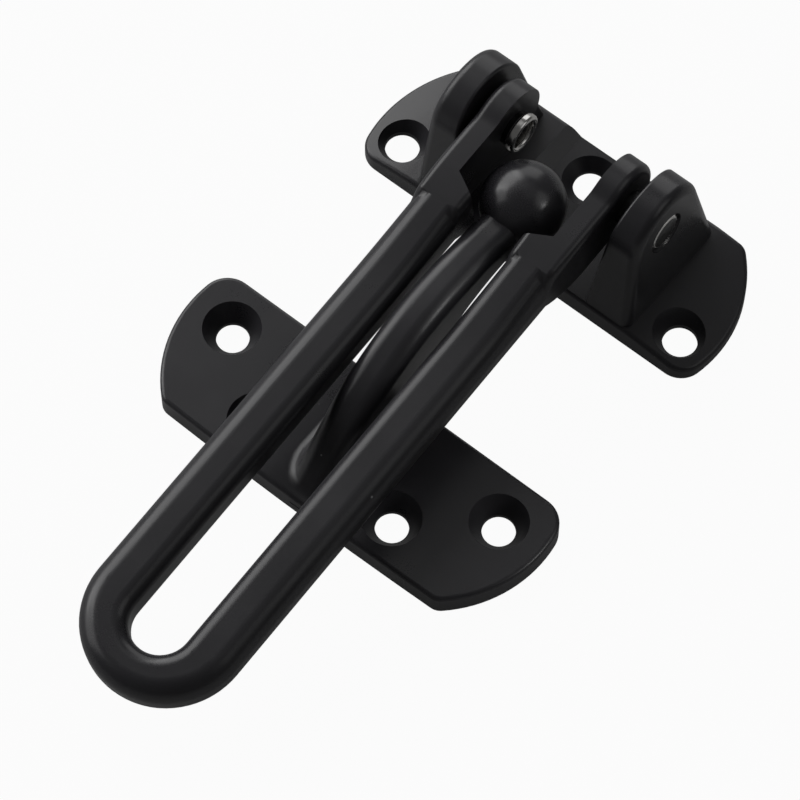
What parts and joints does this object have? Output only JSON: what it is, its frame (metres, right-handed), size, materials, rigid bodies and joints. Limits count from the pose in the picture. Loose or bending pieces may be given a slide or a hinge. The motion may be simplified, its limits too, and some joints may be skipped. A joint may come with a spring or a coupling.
{
  "type": "swing bar door guard",
  "caption": "Swing bar door guard: a slotted loop bar hinged between two ears on a screw-on base, closed over a ball strike on an arched neck.",
  "frame": {"origin": "on the back of the base, straight under the hinge axis and midway between the ears", "axes": "+X along the hinge axis, +Y away from the closed bar, +Z out of the mounting surface"},
  "size_m": [0.0682, 0.1193, 0.0285],
  "materials": {
    "black_paint": "satin",
    "bright_steel": "bright"
  },
  "bodies": {
    "base_body": {"door_base": "black_paint", "hinge_pin_right": "bright_steel", "hinge_pin_left": "bright_steel", "ball_strike": "black_paint"},
    "bar_body": {"swing_bar": "black_paint"}
  },
  "joints": [
    {"name": "bar_swing", "type": "hinge", "parent": "base_body", "child": "bar_body", "pos_m": [0, 0, 0.0208], "axis": [-1, 0, 0], "range_deg": [-3.5, 185]}
  ]
}
